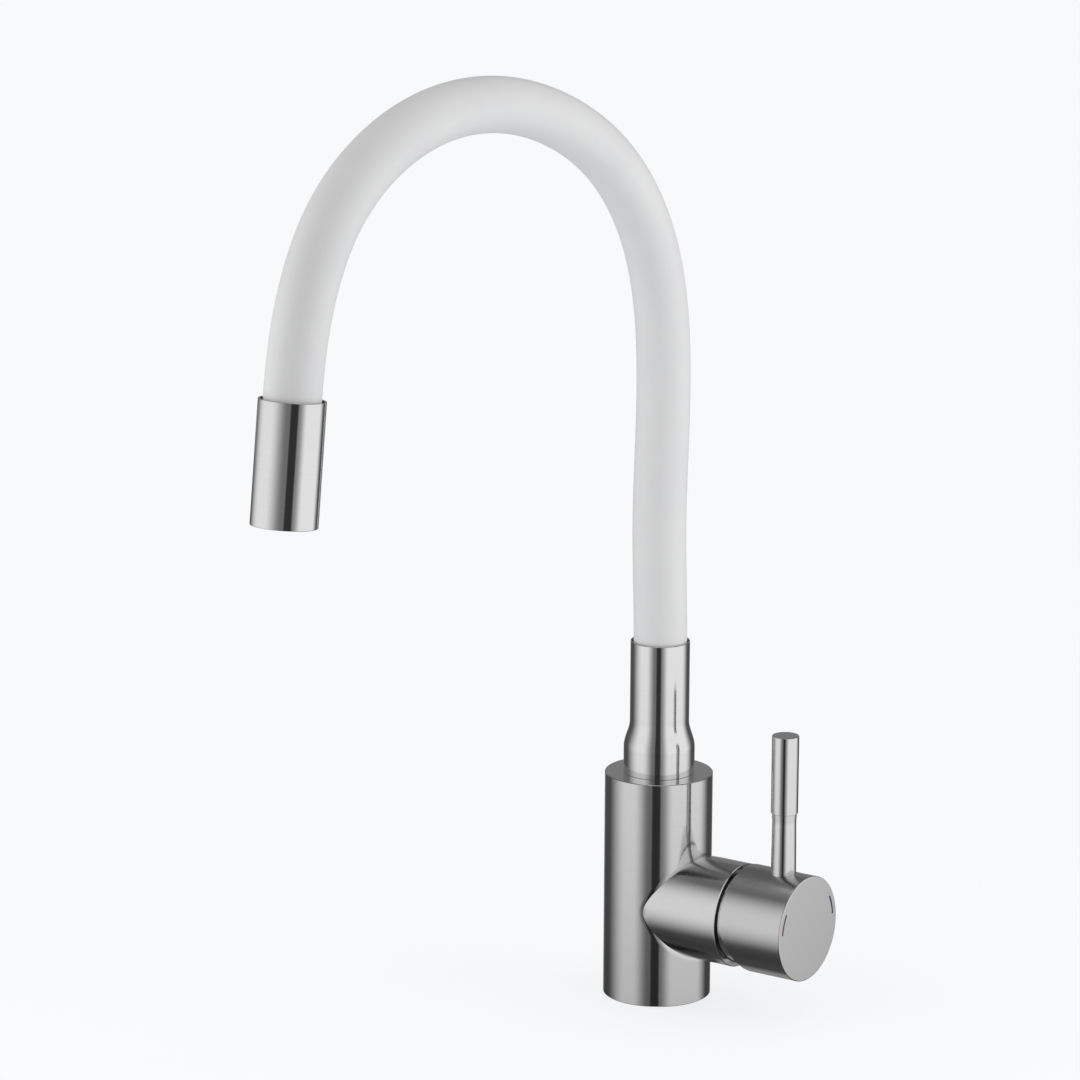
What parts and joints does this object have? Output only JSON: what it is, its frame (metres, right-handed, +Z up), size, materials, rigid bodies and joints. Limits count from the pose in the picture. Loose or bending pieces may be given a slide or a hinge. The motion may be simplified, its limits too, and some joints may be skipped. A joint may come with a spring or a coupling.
{
  "type": "flexible kitchen faucet",
  "caption": "Kitchen mixer tap with a bendable gooseneck spout in a white silicone sleeve, a brushed steel body and a side handle with a pin lever.",
  "frame": {"origin": "centre of the body's base, on the deck", "axes": "+Z up along the body's axis; -Y towards the outlet, over the sink; +X along the handle's branch"},
  "size_m": [0.1076, 0.3228, 0.4496],
  "materials": {
    "brushed_stainless": "brushed",
    "spring_steel": "satin",
    "brass": "satin",
    "white_silicone": "matte",
    "black_rubber": "matte",
    "grey_plastic": "matte",
    "white_plastic": "satin",
    "tube_plastic": "satin",
    "ceramic": "polished",
    "red_enamel": "gloss",
    "blue_enamel": "gloss"
  },
  "bodies": {
    "base": {"faucet_body": "brushed_stainless", "base_seal": "black_rubber", "cartridge_base": "grey_plastic", "port_seal_mixed": "black_rubber", "port_seal_hot": "black_rubber", "port_seal_cold": "black_rubber", "fixed_ceramic_disc": "ceramic", "cartridge_housing": "grey_plastic", "cartridge_nut": "brass", "collar_ring": "brushed_stainless", "retaining_clip": "spring_steel", "slip_washer": "white_plastic"},
    "turning": {"spindle_carrier": "grey_plastic", "tilt_pin": "spring_steel"},
    "lever": {"spindle": "brass", "handle_cap": "brushed_stainless", "hot_mark": "red_enamel", "cold_mark": "blue_enamel", "lever_pin": "brushed_stainless", "grub_screw": "spring_steel"},
    "disc": {"moving_ceramic_disc": "ceramic", "disc_carrier": "grey_plastic"},
    "spout_base": {"swivel_spigot": "brass", "o_ring_upper": "black_rubber", "o_ring_lower": "black_rubber", "neck": "brushed_stainless", "ferrule_lower": "brass", "hose_sleeve": "white_silicone", "water_tube": "tube_plastic", "gooseneck_1": "spring_steel"},
    "hose_2": {"gooseneck_2": "spring_steel"},
    "hose_3": {"gooseneck_3": "spring_steel"},
    "hose_4": {"gooseneck_4": "spring_steel"},
    "hose_5": {"gooseneck_5": "spring_steel"},
    "hose_6": {"gooseneck_6": "spring_steel"},
    "head": {"gooseneck_7": "spring_steel", "head_shell": "brushed_stainless", "ferrule_upper": "brass", "head_adapter": "brass", "hose_washer": "black_rubber", "aerator_seal": "black_rubber", "aerator_ring": "brushed_stainless", "aerator_grille": "white_plastic", "flow_screen": "spring_steel"}
  },
  "joints": [
    {"name": "spout_swivel", "type": "hinge", "parent": "base", "child": "spout_base", "pos_m": [0, 0, 0.1067], "axis": [0, 0, 1], "continuous": true},
    {"name": "hose_bend_1", "type": "hinge", "parent": "spout_base", "child": "hose_2", "pos_m": [0, -0.00166, 0.21442], "axis": [1, 0, 0], "range_deg": [-18, 18], "deforming": ["hose_sleeve", "water_tube"]},
    {"name": "hose_bend_2", "type": "hinge", "parent": "hose_2", "child": "hose_3", "pos_m": [0, -0.00014, 0.30488], "axis": [1, 0, 0], "range_deg": [-18, 18]},
    {"name": "hose_bend_3", "type": "hinge", "parent": "hose_3", "child": "hose_4", "pos_m": [0, -0.03289, 0.38717], "axis": [1, 0, 0], "range_deg": [-18, 18]},
    {"name": "hose_bend_4", "type": "hinge", "parent": "hose_4", "child": "hose_5", "pos_m": [0, -0.11078, 0.43104], "axis": [1, 0, 0], "range_deg": [-18, 18]},
    {"name": "hose_bend_5", "type": "hinge", "parent": "hose_5", "child": "hose_6", "pos_m": [0, -0.20017, 0.43134], "axis": [1, 0, 0], "range_deg": [-18, 18]},
    {"name": "hose_bend_6", "type": "hinge", "parent": "hose_6", "child": "head", "pos_m": [0, -0.26666, 0.37475], "axis": [1, 0, 0], "range_deg": [-18, 18]},
    {"name": "handle_turn", "type": "hinge", "parent": "base", "child": "turning", "pos_m": [0.044, 0, 0.0454], "axis": [1, 0, 0], "range_deg": [-45, 45]},
    {"name": "handle_tilt", "type": "hinge", "parent": "turning", "child": "lever", "pos_m": [0.044, 0, 0.0454], "axis": [0, 1, 0], "range_deg": [0, 24]},
    {"name": "disc_slide", "type": "slide", "parent": "turning", "child": "disc", "axis": [0, 0, 1], "range_m": [0, 0.0058]}
  ],
  "couplings": [
    {"joint": "disc_slide", "follows": "handle_tilt", "m_per_rad": 0.0136}
  ]
}
